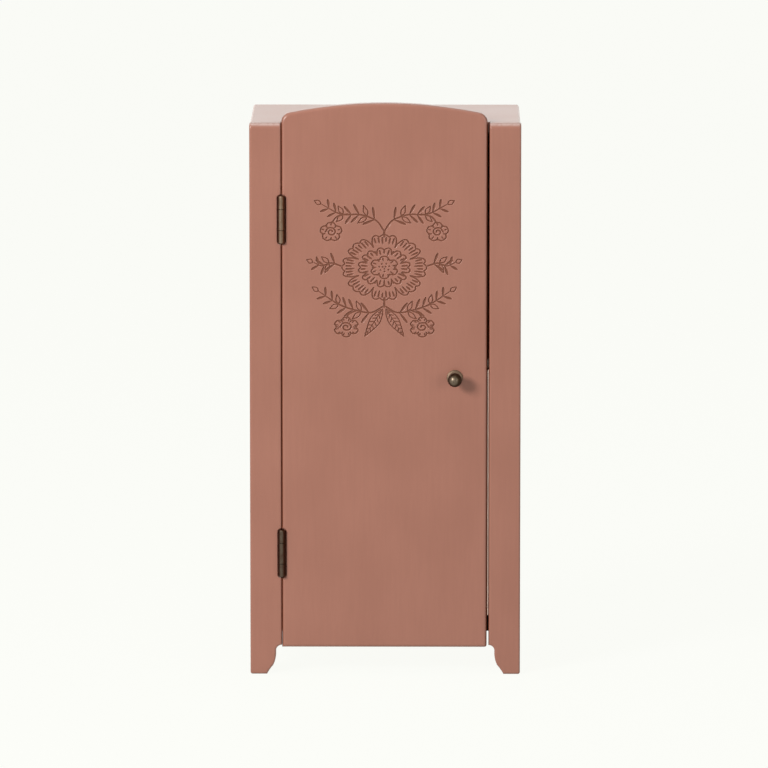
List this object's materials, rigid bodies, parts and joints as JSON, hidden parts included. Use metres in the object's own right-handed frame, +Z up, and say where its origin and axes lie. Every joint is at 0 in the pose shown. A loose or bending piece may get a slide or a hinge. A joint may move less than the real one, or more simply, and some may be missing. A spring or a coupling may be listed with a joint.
{
  "type": "miniature wardrobe",
  "caption": "Dolls house wardrobe: painted wooden carcass on bracket feet, arched inset door with flower carving on butt hinges, ball knob, shelf and hanging rail",
  "frame": {"origin": "on the floor, under the middle of the overall box, whose depth runs from the front of the knob to the back of the back panel", "axes": "+Z up, the door faces -Y, the hinges are on the -X side"},
  "size_m": [0.1, 0.068, 0.2132],
  "materials": {
    "paint": "satin terracotta pink paint over sanded wood",
    "back_paint": "thin terracotta pink paint on board",
    "bare_wood": "bare turned wood",
    "strip_wood": "pale thinly painted wood strip",
    "antique_brass": "aged dark brass",
    "knob_brass": "polished aged brass",
    "steel": "plain zinc plated",
    "magnet": "nickel plated"
  },
  "bodies": {
    "carcass": {"left_side_panel": "paint", "right_side_panel": "paint", "left_stile": "paint", "right_stile": "paint", "top_board": "paint", "bottom_board": "paint", "shelf": "paint", "back_panel": "back_paint", "back_panel_brads": "steel", "hanging_rail": "bare_wood", "door_edge_strip": "strip_wood", "catch_magnet": "magnet", "upper_hinge_frame_leaf": "antique_brass", "upper_hinge_frame_nails": "antique_brass", "upper_hinge_pin": "antique_brass", "lower_hinge_frame_leaf": "antique_brass", "lower_hinge_frame_nails": "antique_brass", "lower_hinge_pin": "antique_brass"},
    "door": {"door": "paint", "knob": "knob_brass", "knob_rosette": "knob_brass", "knob_screw": "steel", "catch_plate": "steel", "catch_plate_tack": "steel", "upper_hinge_door_leaf": "antique_brass", "upper_hinge_door_nails": "antique_brass", "lower_hinge_door_leaf": "antique_brass", "lower_hinge_door_nails": "antique_brass"}
  },
  "joints": [
    {"name": "door_hinge", "type": "hinge", "parent": "carcass", "child": "door", "pos_m": [-0.0382, -0.0266, 0.1079], "axis": [0, 0, -1], "range_deg": [0, 170]}
  ]
}
